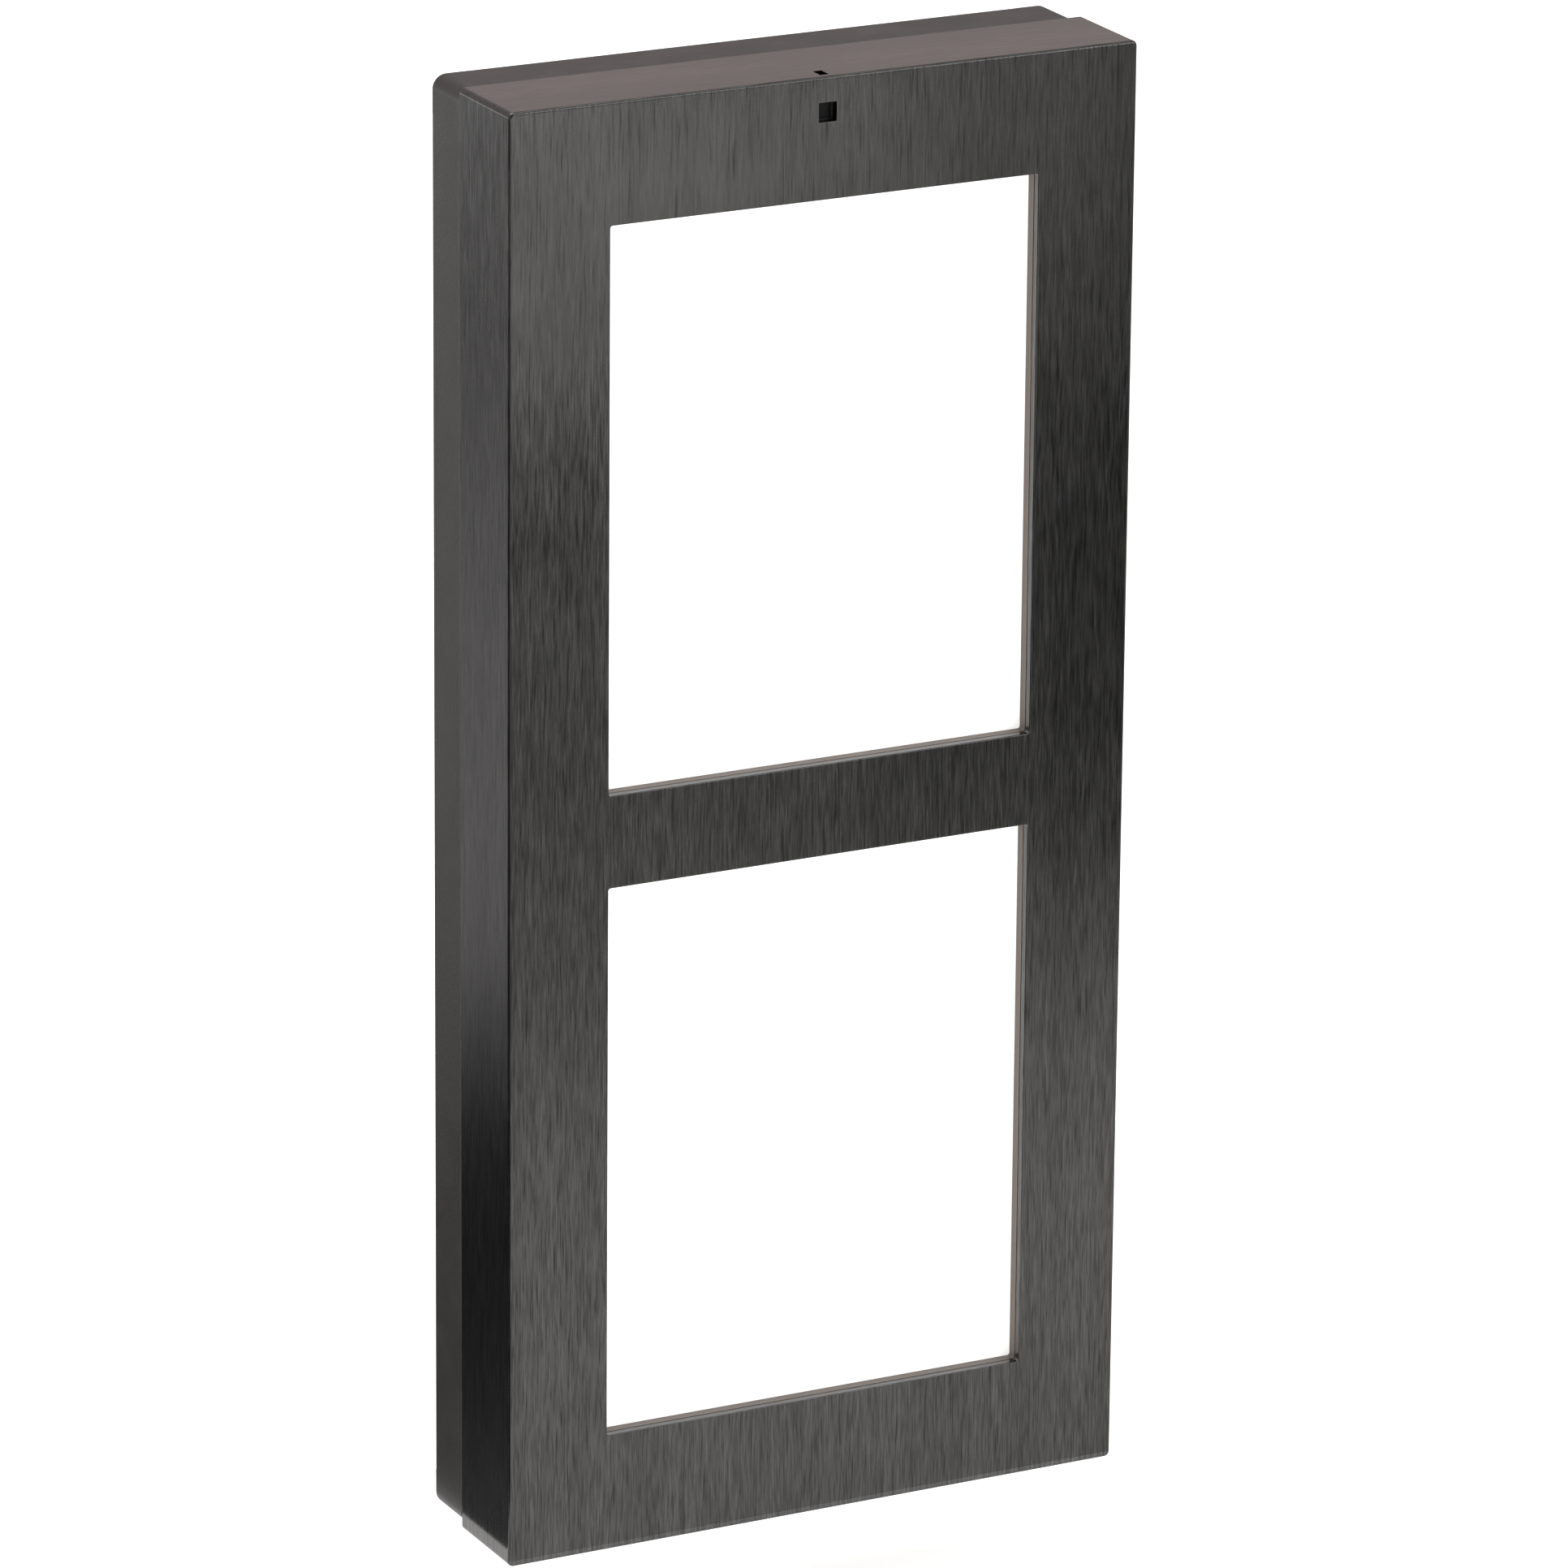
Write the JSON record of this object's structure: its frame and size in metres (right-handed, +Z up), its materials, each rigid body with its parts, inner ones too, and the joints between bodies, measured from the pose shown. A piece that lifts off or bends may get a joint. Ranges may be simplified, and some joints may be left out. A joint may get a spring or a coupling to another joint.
{
  "type": "pedestrian traffic light",
  "caption": "Flat wall-mounted pedestrian light: brushed steel hood with upper and lower lit white fields, hinged at its foot, over a moulded rear shell with drivers, latch and cable entry.",
  "frame": {"origin": "middle of the housing's box in plan, on its bottom edge", "axes": "+Z up along the housing's long side, -Y out of the lit front, +Y into the wall, +X to the right seen from the front"},
  "size_m": [0.107, 0.028, 0.234],
  "materials": {
    "brushed_steel_dark": "dark vertically brushed stainless sheet",
    "shell_plastic": "fine matt mould texture",
    "bezel_plastic": "warm grey-brown satin",
    "opal_white": "opal diffuser, lit evenly from behind",
    "reflector_white": "matt white",
    "board_white": "white solder mask on aluminium core",
    "board_green": "green solder mask",
    "led_lens": "yellow phosphor resin",
    "black_plastic": "satin black",
    "seal_rubber": "matt EPDM",
    "foam_grey": "closed-cell foam",
    "bright_steel": "plain stainless",
    "spring_steel": "tempered strip, slightly blued",
    "insert_brass": "turned brass",
    "capacitor_can": "sleeved aluminium",
    "ferrite_dark": "wound ferrite",
    "terminal_grey": "grey polyamide",
    "lead_jacket": "wire insulation",
    "clear_guide": "clear acrylic light guide"
  },
  "bodies": {
    "base": {"latch_spring": "bright_steel", "latch_bracket": "black_plastic", "latch_screws": "bright_steel", "light_guide": "clear_guide", "sensor_board": "board_green", "light_sensor": "black_plastic", "rear_shell": "shell_plastic", "hood_seal": "seal_rubber", "wall_gasket": "foam_grey", "hinge_pins": "bright_steel", "upper_bezel": "bezel_plastic", "lower_bezel": "bezel_plastic", "upper_opal_panel": "opal_white", "lower_opal_panel": "opal_white", "upper_panel_gasket": "foam_grey", "lower_panel_gasket": "foam_grey", "upper_light_box": "reflector_white", "lower_light_box": "reflector_white", "upper_led_board": "board_white", "lower_led_board": "board_white", "upper_leds": "led_lens", "lower_leds": "led_lens", "module_screws": "bright_steel", "module_inserts": "insert_brass", "driver_board": "board_green", "board_screws": "bright_steel", "driver_capacitors": "capacitor_can", "driver_inductor": "ferrite_dark", "driver_chips": "black_plastic", "board_connectors": "terminal_grey", "terminal_block": "terminal_grey", "terminal_screws": "insert_brass", "cable_grommet": "seal_rubber", "cable_clamp": "black_plastic", "clamp_screws": "bright_steel", "supply_leads": "lead_jacket", "upper_led_lead": "lead_jacket", "lower_led_lead": "lead_jacket", "sensor_lead": "lead_jacket"},
    "hood": {"front_hood": "brushed_steel_dark", "keeper_clip": "spring_steel"},
    "latch": {"latch_slider": "spring_steel"}
  },
  "joints": [
    {"name": "hood_hinge", "type": "hinge", "parent": "base", "child": "hood", "pos_m": [0, 0.0022, 0.0016], "axis": [1, 0, 0], "range_deg": [0, 90], "deforming": ["keeper_clip"]},
    {"name": "latch_press", "type": "slide", "parent": "base", "child": "latch", "axis": [0, 0, -1], "range_m": [0, 0.0013], "stiffness_N_per_m": 600, "springref_m": -0.0008, "deforming": ["latch_spring"]}
  ]
}
